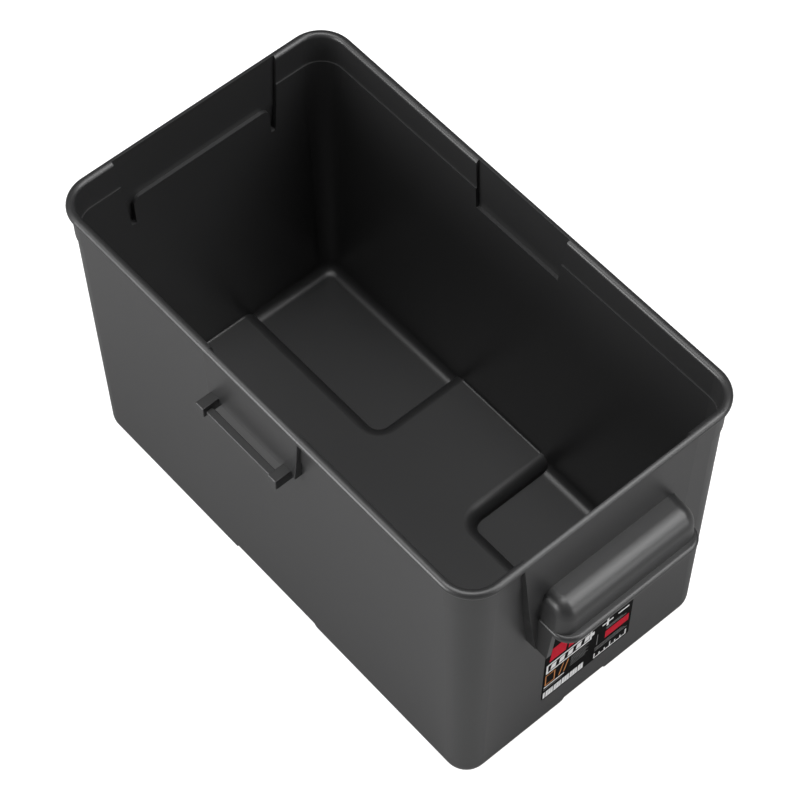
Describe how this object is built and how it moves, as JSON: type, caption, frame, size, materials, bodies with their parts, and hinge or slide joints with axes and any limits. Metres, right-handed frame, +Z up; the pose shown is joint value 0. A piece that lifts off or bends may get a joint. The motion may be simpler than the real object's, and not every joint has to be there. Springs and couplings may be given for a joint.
{
  "type": "battery box",
  "caption": "Open rectangular moulded tub for one battery, with hooded end handles, strap loops on the long walls, a raised cross floor and a rolled rim.",
  "frame": {"origin": "middle of the tub's length and width, on the plane the feet rest on", "axes": "+X along the tub's length towards the end wall with the label, +Y across the tub, +Z up through the open mouth"},
  "size_m": [0.422, 0.2368, 0.235],
  "materials": {
    "shell": "satin moulded polypropylene",
    "bar": "satin moulded polypropylene",
    "label": "printed vinyl film"
  },
  "bodies": {
    "root": {"tub": "shell", "handle_hood_right": "shell", "handle_hood_left": "shell", "strap_lug_front_right": "shell", "strap_lug_front_left": "shell", "strap_lug_back_right": "shell", "strap_lug_back_left": "shell", "strap_bar_front": "bar", "strap_bar_back": "bar", "label": "label"}
  },
  "joints": []
}
